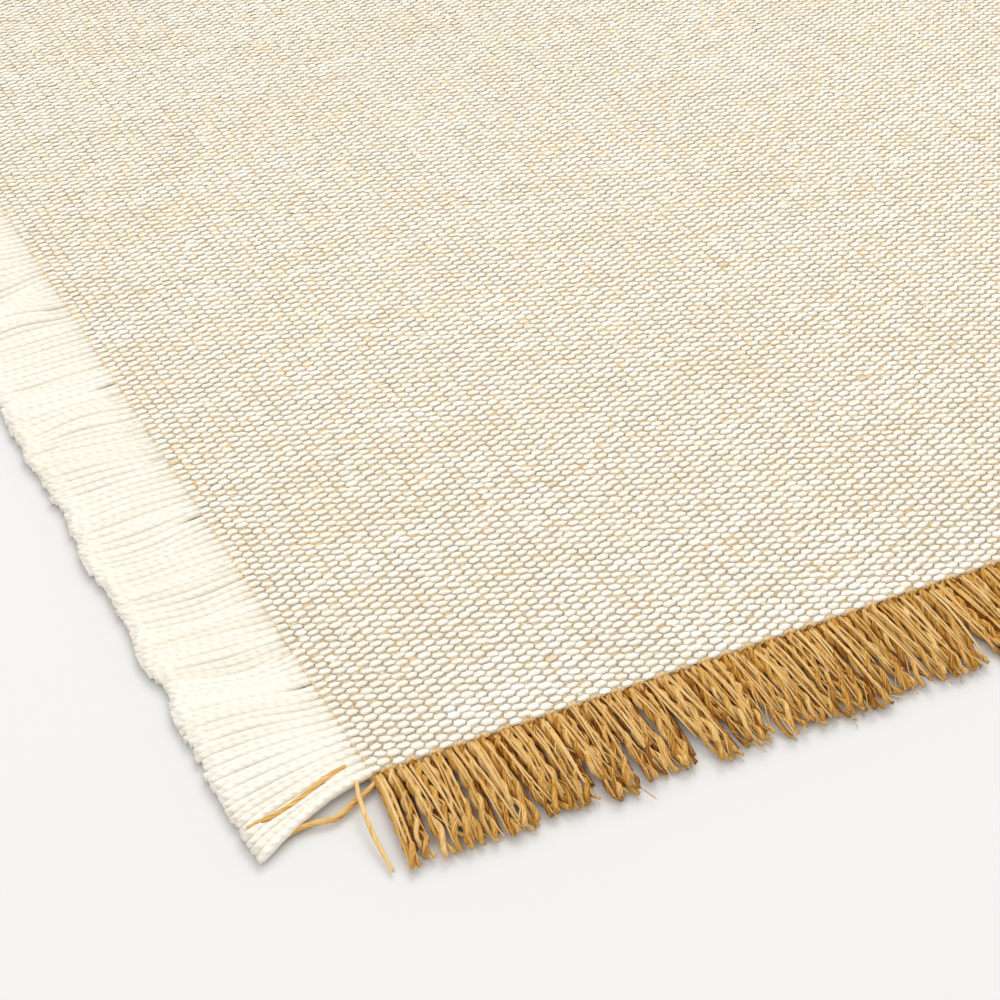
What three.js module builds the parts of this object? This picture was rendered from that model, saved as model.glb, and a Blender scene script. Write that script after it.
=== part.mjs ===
// A flat woven placemat of cotton and jute, with a fringe of its own yarns on all four sides.
// Millimetres, +Z up. It lies on the plane z = 0, centred on the origin: the cotton yarns run
// along X, the long way, and the jute yarns along Y.
import * as THREE from 'three';

// The weave: the number of yarns and their spacing give the cloth its size.
const juteYarns = 252;
const jutePitch = 1.75;
const cottonYarns = 365;
const cottonPitch = 0.8;
const clothThickness = 2.2;
const clothLength = juteYarns * jutePitch;
const clothWidth = cottonYarns * cottonPitch;

// The fringe: yarn ends that lie on the floor in small locks, held together at their roots by a
// narrow strip a little way from the cloth's edge.
const edgeGap = 0.3;
const rootStrip = { width: 1.5, thickness: 1.9 };
const fanWidth = 16;
const goldenAngle = 2.4;

// Each kind of yarn: its reach past the cloth, the locks that it falls into and their width at the
// root, how ragged their tips are, how far a lock strays and how far the last ones fan at a corner.
const cotton = {
  color: 0xf4ecdb,
  reach: 20,
  locks: Math.floor(cottonYarns / 6),
  lockWidth: 4.3,
  ragged: 0.7,
  stray: 0.35,
  fan: 7,
};
const jute = {
  color: 0xc49a5f,
  reach: 19,
  locks: Math.floor(juteYarns / 3),
  lockWidth: 4.5,
  ragged: 2.6,
  stray: 0.8,
  fan: 5,
};

// A lock past its root: share of its length, share of its width, height of its top.
const lockProfile = [
  { along: 0.4, width: 0.95, top: 1.7 },
  { along: 0.8, width: 0.82, top: 1.4 },
  { along: 1, width: 0.62, top: 0.8 },
];

// Each fringe: its yarn, the length of its edge, the edge's distance from the centre, its heading.
const fringes = [
  { name: 'cotton_fringe_right', yarn: cotton, edge: clothWidth, from: clothLength / 2, heading: 0 },
  { name: 'jute_fringe_back', yarn: jute, edge: clothLength, from: clothWidth / 2, heading: 90 },
  { name: 'cotton_fringe_left', yarn: cotton, edge: clothWidth, from: clothLength / 2, heading: 180 },
  { name: 'jute_fringe_front', yarn: jute, edge: clothLength, from: clothWidth / 2, heading: 270 },
];

// A value from -1 to 1 that differs from one lock to the next, and from one fringe to the next.
function uneven(lock, fringe) {
  return Math.sin(goldenAngle * lock * (1 + fringe) + fringe);
}

// Where a lock stands along the edge, how long it is and how far its tip bends sideways.
function layLock(yarn, edge, fringe, lock) {
  const place = ((lock + 0.5) / yarn.locks - 0.5) * edge;
  const shorter = (yarn.ragged * (1 + uneven(lock, fringe))) / 2;
  const nearCorner = Math.max(0, 1 - (edge / 2 - Math.abs(place)) / fanWidth);
  const fan = Math.sign(place) * yarn.fan * nearCorner ** 2;
  return {
    place,
    length: yarn.reach - edgeGap - rootStrip.width - shorter,
    bend: fan + yarn.stray * uneven(lock, fringe + 4),
  };
}

// The locks of one side and the strip that holds their roots, as one closed surface of four-sided
// rings. The strip runs along Y with a ring at both sides of each lock. A lock takes the place of
// the strip's outer face between its two rings and runs along +X, its underside level on the floor.
function makeFringe(yarn, edge, fringe) {
  const points = [];
  const triangles = [];
  const addPoint = (x, y, z) => points.push(x, y, z) / 3 - 1;
  const addFace = (a, b, c, d) => triangles.push(a, b, c, a, c, d);
  const inner = edgeGap;
  const outer = edgeGap + rootStrip.width;

  function addStripRing(y) {
    return {
      innerLow: addPoint(inner, y, 0),
      innerHigh: addPoint(inner, y, rootStrip.thickness),
      outerHigh: addPoint(outer, y, rootStrip.thickness),
      outerLow: addPoint(outer, y, 0),
    };
  }

  function addStrip(from, to, outerFace) {
    addFace(from.innerLow, from.innerHigh, to.innerHigh, to.innerLow);
    addFace(from.innerHigh, from.outerHigh, to.outerHigh, to.innerHigh);
    addFace(from.outerLow, from.innerLow, to.innerLow, to.outerLow);
    if (outerFace) addFace(from.outerHigh, from.outerLow, to.outerLow, to.outerHigh);
  }

  function addLock(left, right, { place, length, bend }) {
    let ring = [left.outerLow, right.outerLow, right.outerHigh, left.outerHigh];
    for (const { along, width, top } of lockProfile) {
      const x = outer + length * along;
      const middle = place + bend * along ** 2;
      const half = (yarn.lockWidth * width) / 2;
      const next = [
        addPoint(x, middle - half, 0),
        addPoint(x, middle + half, 0),
        addPoint(x, middle + half, top),
        addPoint(x, middle - half, top),
      ];
      for (let i = 0; i < 4; i++) {
        const j = (i + 1) % 4;
        addFace(ring[i], ring[j], next[j], next[i]);
      }
      ring = next;
    }
    addFace(...ring);
  }

  let last = addStripRing(-edge / 2);
  addFace(last.outerLow, last.outerHigh, last.innerHigh, last.innerLow);
  for (let lock = 0; lock < yarn.locks; lock++) {
    const lay = layLock(yarn, edge, fringe, lock);
    const left = addStripRing(lay.place - yarn.lockWidth / 2);
    const right = addStripRing(lay.place + yarn.lockWidth / 2);
    addStrip(last, left, true);
    addStrip(left, right, false);
    addLock(left, right, lay);
    last = right;
  }
  const end = addStripRing(edge / 2);
  addStrip(last, end, true);
  addFace(end.innerLow, end.innerHigh, end.outerHigh, end.outerLow);

  const geometry = new THREE.BufferGeometry();
  geometry.setAttribute('position', new THREE.Float32BufferAttribute(points, 3));
  geometry.setIndex(triangles);
  geometry.computeVertexNormals();
  return geometry;
}

function makeCloth() {
  const geometry = new THREE.BoxGeometry(clothLength, clothWidth, clothThickness);
  geometry.translate(0, 0, clothThickness / 2);
  const material = new THREE.MeshStandardMaterial({ color: 0xf0e7d6, roughness: 0.95, metalness: 0 });
  const cloth = new THREE.Mesh(geometry, material);
  cloth.name = 'cloth';
  return cloth;
}

const placemat = new THREE.Group();
placemat.add(makeCloth());
fringes.forEach(({ name, yarn, edge, from, heading }, fringe) => {
  const material = new THREE.MeshStandardMaterial({ color: yarn.color, roughness: 0.9, metalness: 0 });
  const mesh = new THREE.Mesh(makeFringe(yarn, edge, fringe), material);
  const turn = THREE.MathUtils.degToRad(heading);
  mesh.name = name;
  mesh.position.set(from * Math.cos(turn), from * Math.sin(turn), 0);
  mesh.rotation.z = turn;
  placemat.add(mesh);
});

export default placemat;
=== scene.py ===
import bpy
import numpy as np
from mathutils import Euler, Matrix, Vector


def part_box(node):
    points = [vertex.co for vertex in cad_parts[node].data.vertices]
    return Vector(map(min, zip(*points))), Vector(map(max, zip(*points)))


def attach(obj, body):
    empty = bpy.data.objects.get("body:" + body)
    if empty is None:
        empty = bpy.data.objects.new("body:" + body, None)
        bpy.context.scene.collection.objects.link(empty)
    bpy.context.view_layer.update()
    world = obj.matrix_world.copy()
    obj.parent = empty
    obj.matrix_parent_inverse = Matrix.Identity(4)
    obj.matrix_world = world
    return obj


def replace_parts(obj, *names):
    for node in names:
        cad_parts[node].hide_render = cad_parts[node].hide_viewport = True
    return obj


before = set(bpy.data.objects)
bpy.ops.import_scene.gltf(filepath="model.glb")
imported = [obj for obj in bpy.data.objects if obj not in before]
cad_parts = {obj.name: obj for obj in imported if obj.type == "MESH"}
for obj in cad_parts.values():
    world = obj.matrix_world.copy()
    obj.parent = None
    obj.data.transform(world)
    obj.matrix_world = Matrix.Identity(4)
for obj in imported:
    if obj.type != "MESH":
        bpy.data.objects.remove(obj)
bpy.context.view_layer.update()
perMetre = 1000  # lengths here are in millimetres, meshes in metres


# camera at the photo's place: millimetres, degrees, and a lens on a 36 mm sensor
cameraSet = {"place": (-304.67, -365.76, 219.4), "turn": (53.68, 0.85, -25.99), "lens": 85.15}


def makeCamera():
    lens = bpy.data.cameras.new("camera")
    lens.sensor_width = 36
    lens.lens = cameraSet["lens"]
    lens.clip_start = 0.01
    camera = bpy.data.objects.new("camera", lens)
    camera.location = np.array(cameraSet["place"]) / perMetre
    camera.rotation_euler = Euler(np.radians(cameraSet["turn"]))
    bpy.context.scene.collection.objects.link(camera)
    bpy.context.scene.camera = camera
    print("camera set")


makeCamera()


# the weave: cotton yarns along X pass over and under jute yarns along Y
weave = {"juteYarns": 252, "cottonYarns": 365}
clothLow, clothHigh = (np.array(corner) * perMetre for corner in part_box("cloth"))
jutePitch = (clothHigh[0] - clothLow[0]) / weave["juteYarns"]
cottonPitch = (clothHigh[1] - clothLow[1]) / weave["cottonYarns"]
juteX = clothLow[0] + (np.arange(weave["juteYarns"]) + 0.5) * jutePitch
cottonY = clothLow[1] + (np.arange(weave["cottonYarns"]) + 0.5) * cottonPitch


def ease(t):
    # 0 to 1 with level ends: 3t^2 - 2t^3
    t = np.clip(t, 0, 1)
    return t * t * (3 - 2 * t)


def waver(rng, rows, t, waves=3):
    # a smooth random line for each row: sines of 1, 2, 3... half turns, the quicker ones lower
    order = np.arange(1, waves + 1)
    height = rng.normal(0, 1, (rows, waves)) / order
    phase = rng.uniform(0, 2 * np.pi, (rows, waves))
    turns = np.pi * order * t[None, :, None] + phase[:, None]
    return (height[:, None] * np.sin(turns)).sum(2)


def patches(rng, x, y, sizeX, sizeY):
    # soft random patches of the given size: random corner values of a grid, eased between corners
    u = (x - x.min()) / sizeX
    v = (y - y.min()) / sizeY
    i, j = u.astype(int), v.astype(int)
    corner = rng.normal(0, 1, (i.max() + 2, j.max() + 2))
    a, b = ease(u - i), ease(v - j)
    lower = corner[i, j] * (1 - a) + corner[i + 1, j] * a
    upper = corner[i, j + 1] * (1 - a) + corner[i + 1, j + 1] * a
    return lower * (1 - b) + upper * b


def locks(rng, count, least, most):
    # splits a row of yarns into neighbouring locks, and gives each yarn the number of its lock
    sizes = rng.integers(least, most + 1, count)
    return np.repeat(np.arange(count), sizes)[:count]


def lockMiddle(lock, place):
    # the mean place of each yarn's own lock
    return (np.bincount(lock, place) / np.maximum(np.bincount(lock), 1))[lock]


def sweep(path, radius, sides):
    # a round profile carried along each path: point = path + radius * (cos a * across + sin a * over)
    along = np.gradient(path, axis=1)
    along /= np.linalg.norm(along, axis=2, keepdims=True)
    across = np.cross((0, 0, 1), along)
    across /= np.linalg.norm(across, axis=2, keepdims=True)
    over = np.cross(along, across)
    angle = np.linspace(0, 2 * np.pi, sides, endpoint=False) - np.pi / 2
    wave = np.cos(angle)[:, None] * across[:, :, None] + np.sin(angle)[:, None] * over[:, :, None]
    return path[:, :, None] + radius[:, :, None, None] * wave


def tubes(rings, tint, mapBand=(0, 1), flatSides=()):
    # closes rings of points (tube, ring, side, xyz) into tubes of four-cornered faces
    count, steps, sides, _ = rings.shape
    index = np.arange(count * steps * sides).reshape(count, steps, sides)
    turned = np.roll(index, -1, axis=2)
    walls = np.stack([index[:, :-1], turned[:, :-1], turned[:, 1:], index[:, 1:]], axis=-1)
    capSides = np.array([(0, k, k + 1, k + 2) for k in range(1, sides - 2, 2)])
    backSides = capSides[:, (0, 3, 2, 1)]
    faces = [walls.reshape(count, -1, 4), index[:, 0][:, backSides], index[:, -1][:, capSides]]

    # yarn map: millimetres along the yarn, and turns around it counted on from yarn to yarn
    middle = rings.mean(2)
    step = np.linalg.norm(np.diff(middle, axis=1), axis=2)
    reach = np.concatenate([np.zeros((count, 1)), np.cumsum(step, axis=1)], axis=1)
    ring, side = np.meshgrid(np.arange(steps - 1), np.arange(sides), indexing="ij")
    wallRing = np.stack([ring, ring, ring + 1, ring + 1], axis=-1).reshape(-1, 4)
    wallSide = np.stack([side, side + 1, side + 1, side], axis=-1).reshape(-1, 4)
    cornerRing = np.concatenate([wallRing, np.zeros_like(capSides), np.full_like(capSides, steps - 1)])
    cornerSide = np.concatenate([wallSide, backSides, capSides])
    smooth = ~np.isin(side, flatSides)
    number = np.arange(count)[:, None, None]
    yarnMap = np.stack([reach[:, cornerRing], number + cornerSide[None] / sides], axis=-1)

    # bake map: every tube unrolled in a cell of its own, with its two ends beside it
    bulk = np.linalg.norm(rings - middle[:, :, None], axis=3).mean() * 2 * np.pi
    columns = max(1, round(np.sqrt(count * bulk / reach[:, -1].mean())))
    rows = -(-count // columns)
    u = 0.04 + 0.8 * cornerRing / (steps - 1)
    v = 0.08 + 0.84 * cornerSide / sides
    isCap = np.arange(len(cornerRing)) >= len(wallRing)
    around = 2 * np.pi * cornerSide / sides
    capHeight = np.where(cornerRing == 0, 0.27, 0.73)
    u = np.where(isCap[:, None], 0.92 + 0.04 * np.cos(around), u)
    v = np.where(isCap[:, None], capHeight + 0.16 * np.sin(around), v)
    cellU = (number % columns + u) / columns
    cellV = mapBand[0] + (mapBand[1] - mapBand[0]) * (number // columns + v) / rows
    return {
        "points": rings.reshape(-1, 3),
        "faces": np.concatenate(faces, axis=1).reshape(-1, 4),
        "yarn": yarnMap.reshape(-1, 2),
        "OFBake": np.stack([cellU, cellV], axis=-1).reshape(-1, 2),
        "tint": np.repeat(tint, steps * sides),
        "smooth": np.tile(np.concatenate([smooth.ravel(), np.ones(2 * len(capSides), bool)]), count),
    }


def makePiece(name, parts, materials, faceMaterial=None):
    # joins parts into one smooth mesh that rides on the mat
    starts = np.cumsum([0] + [len(part["points"]) for part in parts])
    points = np.concatenate([part["points"] for part in parts]) / perMetre
    faces = np.concatenate([part["faces"] + start for part, start in zip(parts, starts)])
    mesh = bpy.data.meshes.new(name)
    mesh.vertices.add(len(points))
    mesh.vertices.foreach_set("co", points.ravel())
    mesh.loops.add(faces.size)
    mesh.loops.foreach_set("vertex_index", faces.ravel().astype(np.int32))
    mesh.polygons.add(len(faces))
    mesh.polygons.foreach_set("loop_start", np.arange(0, faces.size, 4, dtype=np.int32))
    if faceMaterial is not None:
        mesh.polygons.foreach_set("material_index", faceMaterial)
    mesh.update(calc_edges=True)
    smooth = np.concatenate([part.get("smooth", np.ones(len(part["faces"]), bool)) for part in parts])
    mesh.polygons.foreach_set("use_smooth", smooth)
    for key in ("yarn", "OFBake"):
        if key in parts[0]:
            layer = mesh.uv_layers.new(name=key)
            layer.uv.foreach_set("vector", np.concatenate([part[key] for part in parts]).ravel())
    tint = mesh.attributes.new("tint", "FLOAT", "POINT")
    tint.data.foreach_set("value", np.concatenate([part["tint"] for part in parts]))
    for material in materials:
        mesh.materials.append(material)
    piece = bpy.data.objects.new(name, mesh)
    bpy.context.scene.collection.objects.link(piece)
    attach(piece, "root")
    print(name, len(faces) * 2, "triangles")
    return piece


def newMaterial(name):
    material = bpy.data.materials.new(name)
    material.use_nodes = True
    return material, material.node_tree, material.node_tree.nodes["Principled BSDF"]


def node(tree, kind, inputs=None, **settings):
    # one shader node: its settings, and inputs that are values or the sockets that feed them
    made = tree.nodes.new("ShaderNode" + kind)
    for key, value in settings.items():
        setattr(made, key, value)
    for key, value in (inputs or {}).items():
        if isinstance(value, bpy.types.NodeSocket):
            tree.links.new(value, made.inputs[key])
        else:
            made.inputs[key].default_value = value
    return made


def ramp(tree, value, stops):
    # colours along a value: stops are (position, colour)
    made = node(tree, "ValToRGB", {0: value})
    elements = made.color_ramp.elements
    while len(elements) < len(stops):
        elements.new(0.5)
    for element, (position, colour) in zip(elements, stops):
        element.position = position
        element.color = (*colour, 1)
    return made.outputs[0]


def mix(tree, factor, a, b, blend="MIX"):
    made = node(tree, "Mix", {0: factor, 6: a, 7: b}, data_type="RGBA", blend_type=blend)
    return made.outputs[2]


def calc(tree, operation, a, b=0.0):
    return node(tree, "Math", {0: a, 1: b}, operation=operation).outputs[0]


cottonLook = {
    "cream": (0.87, 0.80, 0.67),
    "white": (0.93, 0.895, 0.82),
    # tan: the darkest cotton tone, also mixed in as painted shade low down in the cloth and at the fringe
    # roots
    "tan": (0.74, 0.54, 0.31),
    "fringeCream": (0.76, 0.69, 0.56),
    "fringeWhite": (0.855, 0.82, 0.735),
    "lay": 3.4,  # length of one turn of the two plies
    "fibreBump": 0.7,
    "plyBump": 0.4,
}


def makeCottonYarn():
    # plied cotton: height = cos of twice the ply angle, plus fibre streaks along the yarn
    # and painted shade in tan low down near the cloth, where the lower yarns sit in the gaps
    material, tree, shader = newMaterial("cotton_yarn")
    yarn = node(tree, "UVMap", uv_map="yarn").outputs[0]
    parts = node(tree, "SeparateXYZ", {0: yarn})
    along, turn = parts.outputs[0], parts.outputs[1]
    tint = node(tree, "Attribute", attribute_name="tint").outputs["Fac"]
    plyTurn = calc(tree, "SUBTRACT", turn, calc(tree, "DIVIDE", along, cottonLook["lay"]))
    plyTurn = calc(tree, "ADD", plyTurn, calc(tree, "MULTIPLY", tint, 7))
    ply = calc(tree, "COSINE", calc(tree, "MULTIPLY", plyTurn, 4 * np.pi))
    streakPlace = node(tree, "Mapping", {0: yarn, "Scale": (0.9, 9, 1)}).outputs[0]
    streak = node(tree, "TexNoise", {0: streakPlace, "Scale": 1, "Detail": 3, "Roughness": 0.6}).outputs[0]
    pale = calc(tree, "ADD", tint, calc(tree, "MULTIPLY", calc(tree, "SUBTRACT", streak, 0.5), 0.7))
    colour = ramp(tree, pale, [(0.0, cottonLook["fringeCream"]), (0.7, cottonLook["fringeWhite"])])
    place = node(tree, "TexCoord").outputs["Object"]
    height = node(tree, "SeparateXYZ", {0: place}).outputs[2]
    # painted shade: yarn low down and within a few millimetres of the root is mixed towards tan
    low = node(tree, "MapRange", {0: height, 1: 0.0011, 2: 0.0017, 3: 1.0, 4: 0.0}).outputs[0]
    root = node(tree, "MapRange", {0: along, 1: 1.0, 2: 4.2, 3: 0.8, 4: 0.0}).outputs[0]
    paintedRootShade = calc(tree, "MULTIPLY", low, root)
    tree.links.new(mix(tree, paintedRootShade, colour, (*cottonLook["tan"], 1)), shader.inputs["Base Color"])
    fibre = node(tree, "Bump", {"Strength": cottonLook["fibreBump"], "Distance": 0.0002, "Height": streak})
    twist = node(tree, "Bump", {"Strength": cottonLook["plyBump"], "Distance": 0.00025, "Height": ply,
                                "Normal": fibre.outputs[0]})
    tree.links.new(twist.outputs[0], shader.inputs["Normal"])
    shader.inputs["Roughness"].default_value = 0.92
    shader.inputs["Specular IOR Level"].default_value = 0.15
    shader.inputs["Sheen Weight"].default_value = 0.12
    return material


def makeFloatCotton():
    # the same cotton in the cloth: fibres along X, and painted shade in tan low down beside the jute
    material, tree, shader = newMaterial("cotton_floats")
    place = node(tree, "TexCoord").outputs["Object"]
    slant = {0: place, "Scale": (900, 7000, 3000), "Rotation": (0, 0, 0.3)}
    fibrePlace = node(tree, "Mapping", slant).outputs[0]
    streak = node(tree, "TexNoise", {0: fibrePlace, "Scale": 1, "Detail": 2, "Roughness": 0.6}).outputs[0]
    tint = node(tree, "Attribute", attribute_name="tint").outputs["Fac"]
    pale = calc(tree, "ADD", tint, calc(tree, "MULTIPLY", calc(tree, "SUBTRACT", streak, 0.5), 0.5))
    stops = [(0.0, cottonLook["tan"]), (0.25, cottonLook["cream"]), (0.85, cottonLook["white"])]
    colour = ramp(tree, pale, stops)
    height = node(tree, "SeparateXYZ", {0: place}).outputs[2]
    # painted shade: the low parts of each float, down by the jute, are mixed up to half way to tan
    low = node(tree, "MapRange", {0: height, 1: 0.0018, 2: 0.00205, 3: 0.5, 4: 0.0}).outputs[0]
    tree.links.new(mix(tree, low, colour, (*cottonLook["tan"], 1)), shader.inputs["Base Color"])
    fibre = node(tree, "Bump", {"Strength": cottonLook["fibreBump"], "Distance": 0.0002, "Height": streak})
    tree.links.new(fibre.outputs[0], shader.inputs["Normal"])
    shader.inputs["Roughness"].default_value = 0.92
    shader.inputs["Specular IOR Level"].default_value = 0.15
    shader.inputs["Sheen Weight"].default_value = 0.1
    return material


juteLook = {
    "dark": (0.2, 0.05, 0.002),
    "tan": (0.59, 0.31, 0.058),
    "straw": (0.84, 0.6, 0.28),
    "lay": 9,  # length of one turn of the fibres in a ply
}


def juteColour(tree, shader, streak, tint, stops):
    # fibres of several tones side by side
    shade = calc(tree, "ADD", tint, calc(tree, "MULTIPLY", calc(tree, "SUBTRACT", streak, 0.5), 2.4))
    tree.links.new(ramp(tree, shade, stops), shader.inputs["Base Color"])
    fibre = node(tree, "Bump", {"Strength": 0.6, "Distance": 0.0002, "Height": streak})
    tree.links.new(fibre.outputs[0], shader.inputs["Normal"])
    shader.inputs["Roughness"].default_value = 0.8
    shader.inputs["Specular IOR Level"].default_value = 0.12


def makeJuteYarn():
    material, tree, shader = newMaterial("jute_yarn")
    yarn = node(tree, "UVMap", uv_map="yarn").outputs[0]
    parts = node(tree, "SeparateXYZ", {0: yarn})
    along = parts.outputs[0]
    turn = calc(tree, "SUBTRACT", parts.outputs[1], calc(tree, "DIVIDE", along, juteLook["lay"]))
    twisted = node(tree, "CombineXYZ", {0: along, 1: turn}).outputs[0]
    streakPlace = node(tree, "Mapping", {0: twisted, "Scale": (0.3, 11, 1)}).outputs[0]
    streak = node(tree, "TexNoise", {0: streakPlace, "Scale": 1, "Detail": 4, "Roughness": 0.65}).outputs[0]
    tint = node(tree, "Attribute", attribute_name="tint").outputs["Fac"]
    stops = [(0.0, juteLook["dark"]), (0.45, juteLook["tan"]), (1.0, juteLook["straw"])]
    juteColour(tree, shader, streak, tint, stops)
    return material


def makeJuteGround():
    material, tree, shader = newMaterial("jute_ground")
    place = node(tree, "TexCoord").outputs["Object"]
    streakPlace = node(tree, "Mapping", {0: place, "Scale": (4000, 300, 4000)}).outputs[0]
    streak = node(tree, "TexNoise", {0: streakPlace, "Scale": 1, "Detail": 3, "Roughness": 0.6}).outputs[0]
    stops = [(0.0, juteLook["tan"]), (0.5, juteLook["straw"]), (1.0, cottonLook["cream"])]
    juteColour(tree, shader, streak, 0.6, stops)
    return material


def makeUnderside():
    # the weave from below: height = 0.5 - 0.5 * cos(pi x / jute pitch) * cos(pi y / cotton pitch)
    material, tree, shader = newMaterial("cloth_underside")
    place = node(tree, "TexCoord").outputs["Object"]
    parts = node(tree, "SeparateXYZ", {0: place})
    waves = []
    for axis, first, pitch in ((0, juteX[0], jutePitch), (1, cottonY[0], cottonPitch)):
        scaled = calc(tree, "MULTIPLY", parts.outputs[axis], np.pi * perMetre / pitch)
        waves.append(calc(tree, "COSINE", calc(tree, "SUBTRACT", scaled, np.pi * first / pitch)))
    height = calc(tree, "SUBTRACT", 0.5, calc(tree, "MULTIPLY", calc(tree, "MULTIPLY", *waves), 0.5))
    uneven = node(tree, "TexNoise", {0: place, "Scale": 900, "Detail": 3, "Roughness": 0.7}).outputs[0]
    shade = calc(tree, "ADD", height, calc(tree, "MULTIPLY", calc(tree, "SUBTRACT", uneven, 0.5), 0.6))
    stops = [(0.1, juteLook["tan"]), (0.3, cottonLook["tan"])]
    stops += [(0.5, cottonLook["cream"]), (0.9, cottonLook["white"])]
    tree.links.new(ramp(tree, shade, stops), shader.inputs["Base Color"])
    relief = node(tree, "Bump", {"Strength": 0.9, "Distance": 0.0004, "Height": shade})
    tree.links.new(relief.outputs[0], shader.inputs["Normal"])
    shader.inputs["Roughness"].default_value = 0.92
    shader.inputs["Specular IOR Level"].default_value = 0.15
    return material


cottonYarnLook = makeCottonYarn()
floatLook = makeFloatCotton()
juteYarnLook = makeJuteYarn()
groundLook = makeJuteGround()
undersideLook = makeUnderside()


groundSet = {"low": 1.82, "rib": 0.1, "perYarn": 4, "rows": 3}


def makeGround():
    # the jute layer: a sheet whose top rises over each yarn
    # z = low + rib * sqrt(1 - offset^2), offset = -1 to 1 across one yarn
    columns = weave["juteYarns"] * groundSet["perYarn"] + 1
    x = np.linspace(clothLow[0], clothHigh[0], columns)
    y = np.linspace(clothLow[1], clothHigh[1], groundSet["rows"])
    offset = 2 * ((x - clothLow[0]) / jutePitch % 1) - 1
    top = groundSet["low"] + groundSet["rib"] * np.sqrt(1 - offset ** 2)
    gridX, gridY = np.meshgrid(x, y, indexing="ij")
    upper = np.stack([gridX, gridY, np.repeat(top[:, None], len(y), axis=1)], axis=-1)
    under = np.stack([gridX, gridY, np.full_like(gridX, clothLow[2])], axis=-1)
    index = np.arange(gridX.size).reshape(gridX.shape)
    lid = np.stack([index[:-1, :-1], index[1:, :-1], index[1:, 1:], index[:-1, 1:]], axis=-1).reshape(-1, 4)
    base = lid[:, ::-1] + gridX.size
    rim = np.concatenate([index[:, 0], index[-1, 1:], index[-2::-1, -1], index[0, -2:0:-1]])
    nextRim = np.roll(rim, -1)
    wall = np.stack([nextRim, rim, rim + gridX.size, nextRim + gridX.size], axis=-1)
    part = {
        "points": np.concatenate([upper.reshape(-1, 3), under.reshape(-1, 3)]),
        "faces": np.concatenate([lid, base, wall]),
        "tint": np.full(gridX.size * 2, 0.5),
    }
    faceLook = np.repeat(np.array([0, 1, 0], dtype=np.int32), (len(lid), len(base), len(wall)))
    piece = makePiece("cloth_ground", [part], [groundLook, undersideLook], faceLook)
    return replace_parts(piece, "cloth")


floatSet = {
    "halfLength": 1.34, "shoulder": 0.5, "ridge": 0.6, "halfWidth": 0.76,
    "tip": 1.84, "side": 1.94, "top": 2.2, "ragged": 0.05,
    "shift": 0.06, "turn": 5, "uneven": 0.05, "panels": 3, "seed": 11,
}


def makeFloats():
    # each float is a short four-sided bar over one jute yarn: a ridge on top and ends that dive
    # point = middle + turned (length * corner x, width * corner y), at the corner's own height
    rng = np.random.default_rng(floatSet["seed"])
    i, j = np.meshgrid(np.arange(weave["juteYarns"]), np.arange(weave["cottonYarns"]), indexing="ij")
    onTop = (i + j) % 2 == 0
    i, j = i[onTop], j[onTop]
    count = len(i)
    cottonSize = rng.normal(1, floatSet["uneven"], weave["cottonYarns"])[j]
    juteSize = rng.normal(1, floatSet["uneven"], weave["juteYarns"])[i]
    own = rng.normal(1, floatSet["uneven"], (count, 2))
    x = juteX[i] + rng.normal(0, floatSet["shift"], count)
    y = cottonY[j] + rng.normal(0, floatSet["shift"], count)
    thin = np.where(rng.random(count) < 0.03, 0.82, 1) - 0.03 * np.maximum(patches(rng, x, y, 16, 6), 0)
    length = np.clip(juteSize * own[:, 0], 0.93, 1.15)
    width = np.clip(cottonSize * own[:, 1], 0.9, 1.12) * thin
    rise = floatSet["top"] + 0.5 * (np.clip(juteSize * cottonSize, 0.8, 1.2) - 1)
    turn = np.radians(rng.normal(2, floatSet["turn"], count))

    # corners of the bar as (ring, side): under, back, top, front
    shoulder = floatSet["shoulder"]
    cornerX = np.array([floatSet["halfLength"], shoulder, floatSet["ridge"], shoulder])
    cornerX = np.stack([-cornerX, cornerX])
    cornerY = np.array([0, floatSet["halfWidth"], 0, -floatSet["halfWidth"]])
    barX = length[:, None, None] * cornerX
    barY = width[:, None, None] * np.broadcast_to(cornerY, (2, 4))
    cos, sin = np.cos(turn)[:, None, None], np.sin(turn)[:, None, None]
    barZ = np.empty((count, 2, 4))
    barZ[:] = (floatSet["tip"], floatSet["side"], 0, floatSet["side"])
    barZ[:, :, 2] = np.minimum(rise, clothHigh[2] + 0.15)[:, None]
    bars = np.stack([
        x[:, None, None] + cos * barX - sin * barY,
        y[:, None, None] + sin * barX + cos * barY,
        barZ,
    ], axis=-1)
    bars += rng.normal(0, floatSet["ragged"], bars.shape)
    bars[..., :2] = np.clip(bars[..., :2], clothLow[:2] - 0.3, clothHigh[:2] + 0.3)

    tint = 0.5 + 0.08 * rng.normal(0, 1, weave["cottonYarns"])[j] + 0.06 * rng.normal(0, 1, count)
    tint += 0.09 * patches(rng, x, y, 22, 5) + 0.06 * patches(rng, x, y, 6, 3)
    tint = np.where(rng.random(count) < 0.0008, 0.1, np.clip(tint, 0.3, 1))
    panel = i * floatSet["panels"] // weave["juteYarns"]
    pieces = []
    for k, side in enumerate(("left", "middle", "right")):
        mine = panel == k
        part = tubes(bars[mine], tint[mine], flatSides=(0, 3))
        pieces.append(makePiece(f"cotton_floats_{side}", [part], [floatLook]))
    return pieces


cottonFringeSet = {
    "radius": 0.62, "sides": 6, "rings": 12, "inset": 0.6, "ragged": 1.5,
    "fan": 8.5, "fanWidth": 18, "sway": 1.5, "wave": 0.06, "gather": 0.02, "slit": 0.42,
    "lowLayer": 0.8, "highLayer": 1.15, "lowRadius": 0.78,
}


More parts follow.
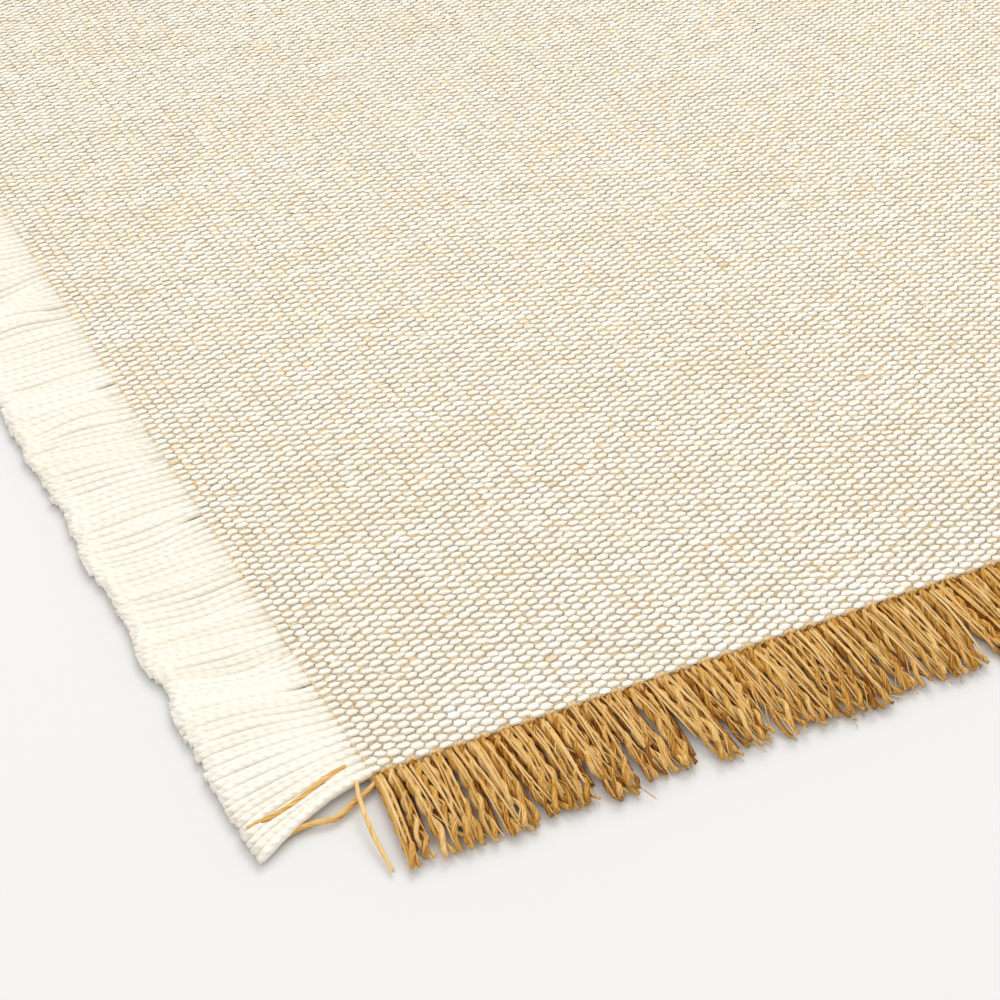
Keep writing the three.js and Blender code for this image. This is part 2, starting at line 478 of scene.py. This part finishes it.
def makeCottonFringe(name, outward, seed):
    # one yarn for each cotton row: it leaves the cloth, sinks to its layer and lies on the floor
    # y = row + fan * t^1.6 + sway eased in with t + bend * sin(pi t)^2, t = 0 to 1 along the yarn
    rng = np.random.default_rng(seed)
    s = cottonFringeSet
    low, high = (np.array(corner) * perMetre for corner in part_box(name))
    edge = clothLow[0] if outward < 0 else clothHigh[0]
    reach = abs((low[0] if outward < 0 else high[0]) - edge)
    count = weave["cottonYarns"]
    t = np.linspace(0, 1, s["rings"])
    lock = locks(rng, count, 5, 12)
    middle = lockMiddle(lock, cottonY)
    short = 0.5 + 0.3 * patches(rng, cottonY, 0 * cottonY, 7, 1) + 0.3 * rng.normal(0, 0.5, count)
    length = reach + s["inset"] - s["ragged"] * np.clip(short, 0, 1)
    out = length[:, None] * t - s["inset"]
    nearCorner = np.clip(1 - (clothHigh[1] - np.abs(cottonY)) / s["fanWidth"], 0, 1)
    inside = 1 - ease(nearCorner * 1.5)
    sway = s["sway"] * inside * patches(rng, cottonY, 0 * cottonY, 11, 1)
    bend = 0.7 * s["sway"] * inside * patches(rng, cottonY, 0 * cottonY, 9, 1)
    gather = s["gather"] * (middle - cottonY) + 0.04 * rng.normal(0, 1, count)[lock]
    y = cottonY[:, None] + (np.sign(cottonY) * s["fan"] * nearCorner ** 2)[:, None] * t ** 1.6
    y = y + (sway + gather)[:, None] * ease(t * 1.3) + bend[:, None] * np.sin(np.pi * t) ** 2
    y = y + s["wave"] * waver(rng, count, t) * ease(t * 3)

    # a few slits open at the cloth edge where two locks part
    endOfLock = np.concatenate([lock[1:] != lock[:-1], [False]])
    startOfLock = np.concatenate([[False], endOfLock[:-1]])
    parted = (rng.random(count) < 0.5)[lock]
    slit = s["slit"] * (startOfLock * 1.0 * np.roll(parted, 1) - endOfLock * parted)
    y = y + slit[:, None] * np.exp(-((t - 0.12) / 0.1) ** 2)
    onTop = np.arange(count) % 2 == 0
    rootZ = np.where(onTop, 1.5, 0.9)
    lieZ = np.where(onTop, s["highLayer"], s["lowLayer"])
    z = rootZ[:, None] + (lieZ - rootZ)[:, None] * ease(t * 4)
    z = z + 0.1 * waver(rng, count, t) * ease(t * 3) - 0.35 * onTop[:, None] * ease((t - 0.8) * 5)
    thick = np.where(onTop, s["radius"], s["lowRadius"]) * rng.normal(1, 0.06, count)
    radius = thick[:, None] * (1 + 0.08 * ease((t - 0.7) * 4))
    radius[:, -1] *= 0.8
    path = np.stack([edge + outward * out, y, np.maximum(z, radius)], axis=-1)
    part = tubes(sweep(path, radius, s["sides"]), np.clip(rng.normal(0.6, 0.12, count), 0.2, 1))
    piece = makePiece(name + "_yarns", [part], [cottonYarnLook])
    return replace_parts(piece, name)


juteFringeSet = {
    "ply": 0.5, "sides": 4, "rings": 20, "inset": 0.7, "ragged": 2.2,
    "fan": 4, "fanWidth": 16, "lean": 0.4, "stray": 0.35, "gather": (0.05, 0.55), "wave": 0.15,
    # the lower yarns' dark tint is painted shade
    "under": {"radius": 0.62, "rings": 7, "z": 0.66, "tint": (0.08, 0.1)},
    "straw": {"perYarn": 3, "radius": 0.23, "rings": 5, "start": (0, 0.12), "run": (0.45, 1),
              "end": 1.0, "beside": 0.5, "spread": (0.5, 0.3, 0.2), "lift": 0.7, "tint": (0.74, 0.15)},
    "fibre": {"perYarn": 2, "radius": 0.11, "rings": 4, "start": (0.25, 0.9), "run": (0.2, 0.6),
              "end": 1.06, "beside": 0.2, "spread": (0.8, 0.5, 0.5), "lift": 0.3, "tint": (0.72, 0.2)},
}


def pointsAlong(path, host, at):
    # the points at given shares of the way along chosen paths, straight between rings
    step = np.clip(at, 0, 0.999) * (path.shape[1] - 1)
    ring = step.astype(int)
    blend = (step - ring)[:, :, None]
    return path[host[:, None], ring] * (1 - blend) + path[host[:, None], ring + 1] * blend


def looseTubes(rng, path, outward, s, mapBand):
    # thin tubes that follow a host path from start to end and spread off it by u^1.5
    count = len(path) * s["perYarn"]
    host = np.arange(count) % len(path)
    start = rng.uniform(*s["start"], count)
    end = np.minimum(start + rng.uniform(*s["run"], count), s["end"])
    u = np.linspace(0, 1, s["rings"])
    at = start[:, None] + (end - start)[:, None] * u
    line = pointsAlong(path, host, at)
    line[:, :, 0] += (s["beside"] * rng.normal(0, 1, count))[:, None]
    spread = rng.normal(0, 1, (count, 3)) * s["spread"]
    line = line + spread[:, None] * (u ** 1.5)[None, :, None]
    line[:, :, 1] += outward * np.maximum(at - 1, 0) * 15
    radius = s["radius"] * rng.uniform(0.6, 1.4, count)[:, None] * (1 - 0.4 * u)
    line[:, :, 2] = np.maximum(line[:, :, 2] + s["lift"] * np.sin(np.pi * (0.2 + 0.7 * u)), radius)
    return tubes(sweep(line, radius, 4), np.clip(rng.normal(*s["tint"], count), 0, 1), mapBand)


def makeJuteFringe(name, outward, seed):
    # each jute yarn is two plies that wind round each other and come apart towards the tip
    # ply = yarn + apart * (cos a, 0.8 sin a), apart growing with t^3, t = 0 to 1 along the yarn
    rng = np.random.default_rng(seed)
    s = juteFringeSet
    low, high = (np.array(corner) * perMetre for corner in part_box(name))
    edge = clothLow[1] if outward < 0 else clothHigh[1]
    reach = abs((low[1] if outward < 0 else high[1]) - edge)
    count = weave["juteYarns"]
    t = np.linspace(0, 1, s["rings"])
    lock = locks(rng, count, 2, 4)
    lockShort = s["ragged"] * rng.random(count)[lock]
    length = reach + s["inset"] - 0.7 * lockShort - 0.5 * s["ragged"] * rng.random(count) ** 2
    out = length[:, None] * t - s["inset"]
    nearCorner = np.clip(1 - (clothHigh[0] - np.abs(juteX)) / s["fanWidth"], 0, 1)
    fan = np.sign(juteX) * s["fan"] * nearCorner ** 2
    gather = rng.uniform(*s["gather"], count)[lock] * (lockMiddle(lock, juteX) - juteX)
    lean = s["lean"] * rng.normal(0, 1, count)[lock] + s["stray"] * rng.normal(0, 1, count)
    x = juteX[:, None] + (fan + lean)[:, None] * t ** 1.5 + gather[:, None] * ease((t - 0.25) * 1.33)
    x = x + s["wave"] * waver(rng, count, t) * ease(t * 2)
    lift = rng.uniform(0, 1, count)[:, None] * np.sin(np.pi * t ** 0.8)
    z = 1.05 + 0.5 * lift - 0.1 * ease(t * 2)
    path = np.stack([x, edge + outward * out, z], axis=-1)

    turns = rng.uniform(2.5, 4.5, count)
    phase = rng.uniform(0, 2 * np.pi, count)
    apart = 0.85 * s["ply"] * (1 + rng.uniform(0, 1.2, count)[:, None] * t ** 3)
    plies = []
    for k in (0, 1):
        angle = 2 * np.pi * turns[:, None] * t * (1 - 0.25 * t) + phase[:, None] + k * np.pi
        ply = path.copy()
        ply[:, :, 0] += apart * np.cos(angle)
        ply[:, :, 2] += 0.8 * apart * np.sin(angle)
        plies.append(ply)
    plies = np.concatenate(plies)
    radius = s["ply"] * rng.normal(1, 0.1, 2 * count)[:, None] * (1 - 0.2 * t ** 2)
    plies[:, :, 2] = np.maximum(plies[:, :, 2], radius)
    plyTint = np.clip(rng.normal(0.42, 0.2, 2 * count), 0.05, 0.95)
    parts = [tubes(sweep(plies, radius, s["sides"]), plyTint, (0, 0.6))]

    # ends of the lower yarns lie between and under the others, coloured dark as painted shade
    under = s["under"]
    u = np.linspace(0, rng.uniform(0.7, 0.95, count), under["rings"]).T
    lower = pointsAlong(path, np.arange(count), u)
    lower[:, :, 0] += 0.5 * jutePitch + 0.2 * rng.normal(0, 1, (count, 1))
    lower[:, :, 2] = under["z"]
    lower = lower[:-1]
    lowerRadius = np.full(lower.shape[:2], under["radius"]) * np.linspace(1, 0.6, under["rings"])
    lowerShadeTint = np.clip(rng.normal(*under["tint"], count - 1), 0, 1)
    parts.append(tubes(sweep(lower, lowerRadius, s["sides"]), lowerShadeTint, (0.6, 0.7)))
    parts.append(looseTubes(rng, path, outward, s["straw"], (0.7, 0.85)))
    parts.append(looseTubes(rng, plies, outward, s["fibre"], (0.85, 0.95)))
    if name == "jute_fringe_front":
        parts.append(cornerStrands((0.95, 1)))
    piece = makePiece(name + "_yarns", parts, [juteYarnLook])
    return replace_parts(piece, name)


# loose jute at the near corner: middle lines in millimetres, thickest radius, colour
cornerSet = [
    ([(-222.1, -142.6, 1.4), (-226, -143.8, 1.5), (-229.6, -145.6, 1.55), (-233.1, -147.1, 1.5),
      (-236.3, -147.7, 1.45), (-239, -147.8, 1.2)], 0.46, 0.62),
    ([(-219.7, -146.3, 0.8), (-220.9, -147.6, 0.75), (-223, -148.5, 0.7), (-225.6, -149.8, 0.65),
      (-227.8, -151, 0.6), (-230.4, -150.3, 0.7), (-232.8, -150.3, 0.7), (-237.9, -151.7, 0.5)], 0.45, 0.66),
    ([(-222.2, -145, 1.3), (-223.6, -148.9, 1.9), (-224.2, -152.2, 1.8), (-224.7, -156.4, 1.3),
      (-224.7, -159.9, 0.8), (-224.8, -163, 0.5)], 0.36, 0.85),
    ([(-219.4, -144, 1), (-219.8, -144.5, 0.9), (-220.7, -145, 0.8), (-221.5, -145.4, 0.7)], 0.55, 0.3),
]


def cornerStrands(mapBand):
    # each strand is a round profile along its own line, thinner at the ends
    # r = thickest * (0.35 + 0.65 * sin(pi * (0.1 + 0.85 u))^0.4)
    u = np.linspace(0, 1, 18)
    lines = []
    for line, _, _ in cornerSet:
        line = np.array(line)
        place = np.linspace(0, 1, len(line))
        fine = np.stack([np.interp(u, place, line[:, k]) for k in range(3)], axis=-1)
        fine[1:-1] = (fine[:-2] + 2 * fine[1:-1] + fine[2:]) / 4
        lines.append(fine)
    thick = np.array([radius for _, radius, _ in cornerSet])
    radius = thick[:, None] * (0.35 + 0.65 * np.sin(np.pi * (0.1 + 0.85 * u)) ** 0.4)
    return tubes(sweep(np.array(lines), radius, 6), np.array([tint for _, _, tint in cornerSet]), mapBand)


ground = makeGround()
floats = makeFloats()
fringes = [
    makeCottonFringe("cotton_fringe_left", -1, 21),
    makeCottonFringe("cotton_fringe_right", 1, 22),
    makeJuteFringe("jute_fringe_front", -1, 31),
    makeJuteFringe("jute_fringe_back", 1, 32),
]


stageSet = {"floor": (0.67, 0.67, 0.665), "sky": 0.95, "key": 52, "fill": 36}


def makeStage():
    material, _, shader = newMaterial("pale_floor")
    shader.inputs["Base Color"].default_value = (*stageSet["floor"], 1)
    shader.inputs["Roughness"].default_value = 0.9
    mesh = bpy.data.meshes.new("floor")
    half = 8.0
    corners = [(-half, -half, 0), (half, -half, 0), (half, half, 0), (-half, half, 0)]
    mesh.from_pydata(corners, [], [(0, 1, 2, 3)])
    mesh.materials.append(material)
    floor = bpy.data.objects.new("floor", mesh)
    floor.location = (0, 0, -0.0002)
    bpy.context.scene.collection.objects.link(floor)

    world = bpy.data.worlds.new("studio")
    world.use_nodes = True
    world.node_tree.nodes["Background"].inputs["Color"].default_value = (1, 0.99, 0.97, 1)
    world.node_tree.nodes["Background"].inputs["Strength"].default_value = stageSet["sky"]
    bpy.context.scene.world = world

    for name, place, size, power in (
        ("key", (1.05, 1.9, 2.4), 2.0, stageSet["key"]),
        ("fill", (-2.7, -2.0, 3.0), 3.0, stageSet["fill"]),
    ):
        light = bpy.data.lights.new(name, "AREA")
        light.size = size
        light.energy = power
        lamp = bpy.data.objects.new(name, light)
        lamp.location = place
        aim = np.array((-0.15, -0.05, 0)) - np.array(place)
        flat = np.hypot(aim[0], aim[1])
        lamp.rotation_euler = (np.arctan2(flat, -aim[2]), 0, np.arctan2(aim[1], aim[0]) - np.pi / 2)
        bpy.context.scene.collection.objects.link(lamp)
    bpy.context.scene.view_settings.view_transform = "Standard"
    print("stage set")


makeStage()
